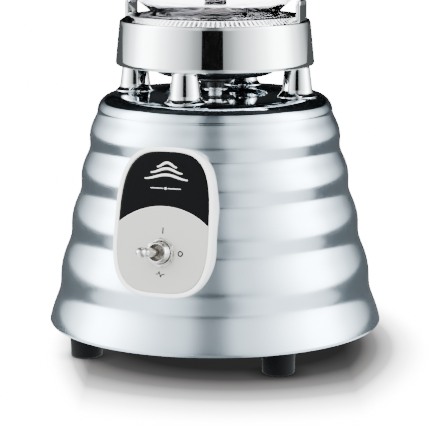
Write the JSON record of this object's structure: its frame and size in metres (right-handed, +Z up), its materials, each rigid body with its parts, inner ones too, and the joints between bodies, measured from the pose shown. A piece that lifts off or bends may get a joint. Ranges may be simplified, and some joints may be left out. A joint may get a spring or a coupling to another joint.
{
  "type": "countertop blender",
  "caption": "Countertop blender with a ribbed chrome motor base, jar ring on posts, toggle switch, lobed glass jar, blades and lid.",
  "frame": {"origin": "on the base's vertical axis, at the plane that the four feet stand on", "axes": "+Z up along the motor's axis; the badge and the toggle switch face -Y; the jar's handle points to +X"},
  "size_m": [0.1942, 0.2181, 0.3863],
  "materials": {
    "polished_chrome": "mirror-polished chrome on a die casting",
    "plated_steel": "zinc-plated, satin",
    "black_sheet": "matt black paint",
    "black_rubber": "matt black rubber",
    "white_plastic": "glossy white plastic",
    "black_foil": "glossy black foil",
    "grey_foil": "satin light grey foil",
    "nickel": "satin nickel",
    "brass": "bright brass",
    "cast_aluminium": "as cast",
    "lamination_steel": "varnished steel laminations",
    "enamelled_copper": "varnished copper wire",
    "bronze": "sintered bronze",
    "carbon": "carbon",
    "ground_steel": "ground steel",
    "copper_bars": "turned copper bars",
    "black_plastic": "moulded black plastic",
    "clear_glass": "clear pressed glass"
  },
  "bodies": {
    "base": {"motor_housing": "polished_chrome", "support_posts": "polished_chrome", "jar_ring": "polished_chrome", "ring_screws": "plated_steel", "bottom_plate": "black_sheet", "bottom_screws": "plated_steel", "feet": "black_rubber", "badge_bezel": "white_plastic", "badge_upper_inlay": "black_foil", "badge_lower_inlay": "grey_foil", "switch_body": "nickel", "switch_terminals": "brass", "switch_washer": "nickel", "switch_nut": "nickel", "cord_grommet": "black_rubber", "shaft_seal": "black_rubber", "upper_bracket": "cast_aluminium", "lower_bracket": "cast_aluminium", "stator_core": "lamination_steel", "field_coils": "enamelled_copper", "motor_bolts": "plated_steel", "motor_spacers": "plated_steel", "rubber_mounts": "black_rubber", "mount_screws": "plated_steel", "upper_bearing": "bronze", "lower_bearing": "bronze", "brush_holders": "brass", "carbon_brushes": "carbon", "brush_springs": "plated_steel"},
    "toggle": {"switch_lever": "nickel"},
    "rotor": {"motor_shaft": "ground_steel", "armature_core": "lamination_steel", "armature_windings": "enamelled_copper", "commutator": "copper_bars", "cooling_fan": "black_plastic", "slinger_washer": "ground_steel", "drive_stud": "ground_steel"},
    "jar": {"jar_glass": "clear_glass", "blade_gasket": "black_rubber", "bearing_housing": "ground_steel", "blade_bush": "bronze"},
    "nut": {"jar_nut": "black_plastic"},
    "blades": {"drive_socket": "black_plastic", "blade_shaft": "ground_steel", "lower_blade": "ground_steel", "upper_blade": "ground_steel", "blade_spacer": "ground_steel", "blade_cap_nut": "ground_steel"},
    "lid": {"lid": "black_plastic", "lid_seal": "black_rubber"},
    "cap": {"filler_cap": "black_plastic"}
  },
  "joints": [
    {"name": "motor_spin", "type": "hinge", "parent": "base", "child": "rotor", "pos_m": [0, 0, 0.12], "axis": [0, 0, 1], "continuous": true},
    {"name": "toggle_tilt", "type": "hinge", "parent": "base", "child": "toggle", "pos_m": [0, -0.08594, 0.06932], "axis": [-1, 0, 0], "range_deg": [-12, 12]},
    {"name": "jar_lift", "type": "slide", "parent": "base", "child": "jar", "axis": [0, 0, 1], "range_m": [0, 0.06]},
    {"name": "nut_unscrew", "type": "hinge", "parent": "jar", "child": "nut", "pos_m": [0, 0, 0.18], "axis": [0, 0, -1], "range_deg": [0, 450]},
    {"name": "blade_spin", "type": "hinge", "parent": "jar", "child": "blades", "pos_m": [0, 0, 0.19], "axis": [0, 0, 1], "continuous": true},
    {"name": "lid_lift", "type": "slide", "parent": "jar", "child": "lid", "axis": [0, 0, 1], "range_m": [0, 0.03]},
    {"name": "cap_lift", "type": "slide", "parent": "lid", "child": "cap", "axis": [0, 0, 1], "range_m": [0, 0.03]}
  ],
  "couplings": [
    {"joint": "blade_spin", "follows": "motor_spin", "ratio": 1}
  ]
}
